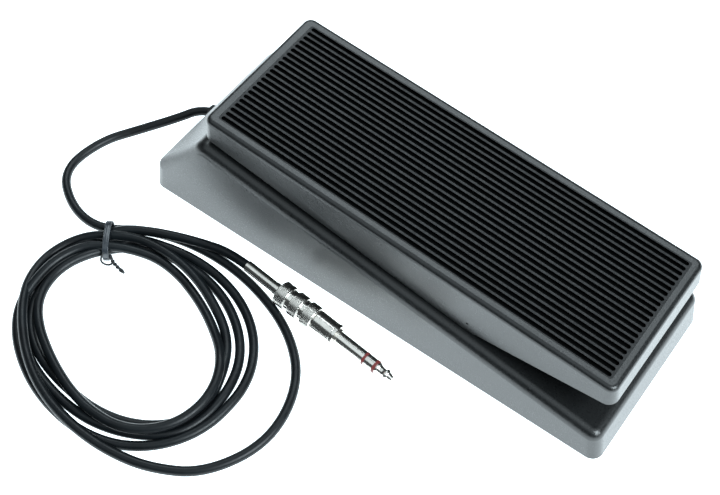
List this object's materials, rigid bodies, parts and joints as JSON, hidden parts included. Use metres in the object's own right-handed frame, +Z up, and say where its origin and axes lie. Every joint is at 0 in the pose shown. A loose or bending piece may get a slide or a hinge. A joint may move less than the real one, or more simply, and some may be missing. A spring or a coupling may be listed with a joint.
{
  "type": "rocker expression pedal",
  "caption": "Foot-operated rocker pedal: a ribbed treadle on a sloped housing turns a potentiometer through a gear sector; a cable with a stereo plug leaves at the toe end",
  "frame": {"origin": "on the floor under the middle of the housing, cable and plug left out", "axes": "+X from the toe end to the heel end, +Y across the pedal, +Z up"},
  "size_m": [0.2865, 0.2082, 0.0677],
  "materials": {
    "body_black": "moulded black with a fine spark-eroded texture and a slight sheen",
    "plate_black": "black powder coat on sheet steel",
    "zinc": "bright zinc plate",
    "steel": "turned steel",
    "rubber_black": "dull moulded rubber",
    "mat_black": "ribbed rubber with a faint sheen on the ribs",
    "nylon_white": "natural nylon",
    "nylon_black": "black nylon",
    "pot_grey": "potentiometer housing",
    "tinned": "tinned terminals",
    "cable_black": "satin PVC jacket",
    "wire_cover": "insulated hook-up wire",
    "boot_rubber": "moulded strain relief",
    "tie_black": "plastic-covered wire tie",
    "plug_nickel": "bright nickel plate with knurled bands",
    "insulator_red": "red insulating rings"
  },
  "bodies": {
    "housing": {"base_shell": "body_black", "base_plate": "plate_black", "base_plate_screws": "zinc", "rubber_feet": "rubber_black", "pivot_bracket": "zinc", "pivot_bracket_screws": "zinc", "pivot_axle": "steel", "axle_clips": "steel", "friction_washers": "nylon_white", "toe_bumper": "rubber_black", "heel_bumper": "rubber_black", "pot_bracket": "zinc", "pot_bracket_screws": "zinc", "pot_body": "pot_grey", "pot_washer": "zinc", "pot_nut": "zinc", "pot_terminals": "tinned", "inner_cable": "cable_black", "signal_wires": "wire_cover", "cable_clamp": "nylon_black", "cable_clamp_screw": "zinc", "strain_relief": "boot_rubber", "cord_lead": "cable_black", "cord_coil": "cable_black", "cord_plug_end": "cable_black", "twist_tie": "tie_black", "plug_strain_tube": "plug_nickel", "plug_barrel": "plug_nickel", "plug_collar": "plug_nickel", "plug_sleeve": "plug_nickel", "plug_insulators": "insulator_red", "plug_ring": "plug_nickel", "plug_tip": "plug_nickel"},
    "treadle": {"treadle_shell": "body_black", "tread_mat": "mat_black", "axle_bushes": "nylon_black", "sector_gear": "nylon_white", "sector_screws": "zinc"},
    "pot_rotor": {"pot_shaft": "steel", "pinion_gear": "nylon_white", "pinion_setscrew": "steel"}
  },
  "joints": [
    {"name": "treadle_rock", "type": "hinge", "parent": "housing", "child": "treadle", "pos_m": [0.051, 0, 0.0362], "axis": [0, 1, 0], "range_deg": [0, 15.5]},
    {"name": "pot_spin", "type": "hinge", "parent": "housing", "child": "pot_rotor", "pos_m": [-0.00116, 0, 0.02222], "axis": [0, 1, 0], "range_deg": [-124, 0]}
  ],
  "couplings": [
    {"joint": "pot_spin", "follows": "treadle_rock", "ratio": -8}
  ]
}
